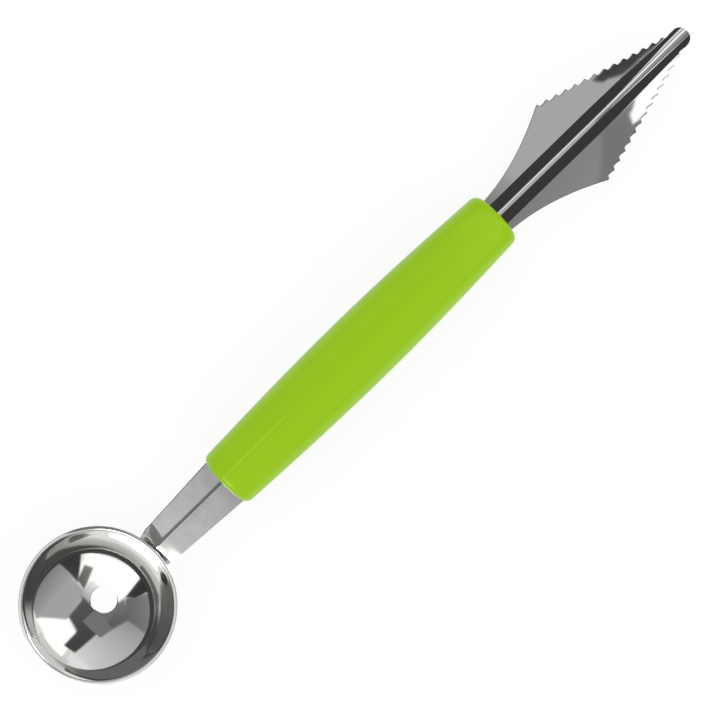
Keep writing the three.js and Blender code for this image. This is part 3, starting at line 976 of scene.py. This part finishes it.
# Close to the bowl and the neck: the light part of the far wall's ring, and the dark over the bend
place_card("card_far_ring", 0.8, (-40, -21, 10.5), (-40, 21, 10.5), (-40, 21, 20), (-40, -21, 20))
place_card("card_neck_dark", 0.23, (-90, 0.5, 43), (-77, 0.5, 43), (-77, 22, 43), (-90, 22, 43))
place_card("card_neck_dark_low", 0.21, (-108, 0.5, 43), (-90, 0.5, 43), (-90, 14, 43), (-106, 12, 43))

# Round the blade: a screen that hides these cards from the bowl, dark flags and strips over the rib
place_card("cover_strips", 1.38, (45.5, -46, 20), (45.5, 30, 20), (45.5, 30, 75), (45.5, -46, 75))
place_card("cover_flag", 0.9, (45.5, 30, 20), (45.5, 46, 20), (45.5, 46, 75), (45.5, 30, 75))
place_card("flag_left", 0.05, (46, 42, 0), (125, 42, 0), (92, 42, 60), (46, 42, 70))
place_card("flag_right", 0.05, (46, -42, 0), (92, -42, 0), (92, -42, 50), (46, -42, 50))
place_card("flag_right_tip", 0.05, (92, -42, 0), (150, -42, 0), (150, -42, 62), (92, -42, 62))
place_card("strip_middle", 0.4, (46, 14, 56), (150, 14, 56), (150, -8, 56), (46, -8, 56))
place_card("strip_left", 1.3, (46, 27, 55), (150, 27, 55), (150, 13, 55), (46, 13, 55))
place_card("strip_left_tip", 1.3, (92, 23.5, 40), (150, 23.5, 40), (150, 16, 40), (98, 16, 40))
place_card("strip_right", 0.7, (46, -7, 55), (88, -7, 55), (88, -24, 55), (46, -24, 55))
place_card("strip_right_tip", 0.35, (88, -7, 55), (150, -7, 55), (150, -24, 55), (88, -24, 55))
place_card("strip_right_dark", 0.06, (87, -16, 40), (150, -16, 40), (150, -23.5, 40), (87, -23.5, 40))

# Over the blade's wings
hang_wing_card("wing_left_light", 0, 1, 1, (-6, 0.5, 0.1), (13, 0.5, 0.55), (13, 16, 0.55), (-6, 16, 0.3))
hang_wing_card("wing_left_even", 0, 1, 1, (8, 0.5, 0.52), (72, 0.5, 0.52), (72, 16, 0.52), (8, 16, 0.52))
hang_wing_card(
    "wing_left_dark", 1, 0.5, 1,
    (39.6, 7.4, 0.06), (41.2, 4.9, 0.06), (62, 4.6, 0.06), (54, 10, 0.06))
hang_wing_card(
    "wing_left_dark_low", 1, 0.5, 1,
    (40.9, 5.7, 0.06), (46.2, 3.1, 0.06), (68, 1.5, 0.06), (60, 6, 0.06))
hang_wing_card(
    "wing_right_even", 0, 1, -1,
    (-6, 0.5, 0.25), (72, 0.5, 0.36), (72, 16, 0.36), (-6, 16, 0.36))
hang_wing_card(
    "wing_right_dim", 1, 2.2, -1,
    (21, 13.5, 0.23), (33, 2.2, 0.23), (56, 1.5, 0.27), (50, 14, 0.27))
hang_wing_card(
    "wing_right_white", 2, 0.5, -1,
    (39.2, 7.2, 1.45), (40.4, 4.2, 1.45), (62, 3.6, 1.45), (56, 9, 1.45))
hang_wing_card(
    "wing_right_white_low", 2, 0.5, -1,
    (40.1, 5.2, 1.45), (44.2, 2.6, 1.45), (66, 1.5, 1.45), (60, 5.6, 1.45))

world = bpy.data.worlds.new("white_surround")
world.use_nodes = True
surround = world.node_tree.nodes["Background"]
surround.inputs["Color"].default_value = even_grey(1.0)
surround_level = add_node(
    world.node_tree, "ShaderNodeMath",
    {0: seen_rays(world.node_tree), 1: 1 - SURROUND_LIGHT, 2: SURROUND_LIGHT}, operation="MULTIPLY_ADD")
world.node_tree.links.new(surround_level.outputs[0], surround.inputs["Strength"])
bpy.context.scene.world = world

lamp_data = bpy.data.lights.new("soft_lamp", "AREA")
lamp_data.size = LAMP_SIZE
lamp_data.energy = LAMP_POWER
lamp = bpy.data.objects.new("soft_lamp", lamp_data)
lamp.location = LAMP_PLACE
lamp.rotation_euler = (-LAMP_PLACE).to_track_quat("-Z", "Y").to_euler()
lamp.visible_glossy = False
lamp.visible_camera = False
bpy.context.scene.collection.objects.link(lamp)

camera_data = bpy.data.cameras.new("camera")
camera_data.lens = CAMERA_LENS
camera_data.sensor_width = CAMERA_SENSOR
camera = bpy.data.objects.new("camera", camera_data)
camera.location = camera_place
camera.rotation_euler = (0, 0, CAMERA_TURN)
bpy.context.scene.collection.objects.link(camera)
bpy.context.scene.camera = camera
bpy.context.scene.view_settings.view_transform = "Standard"
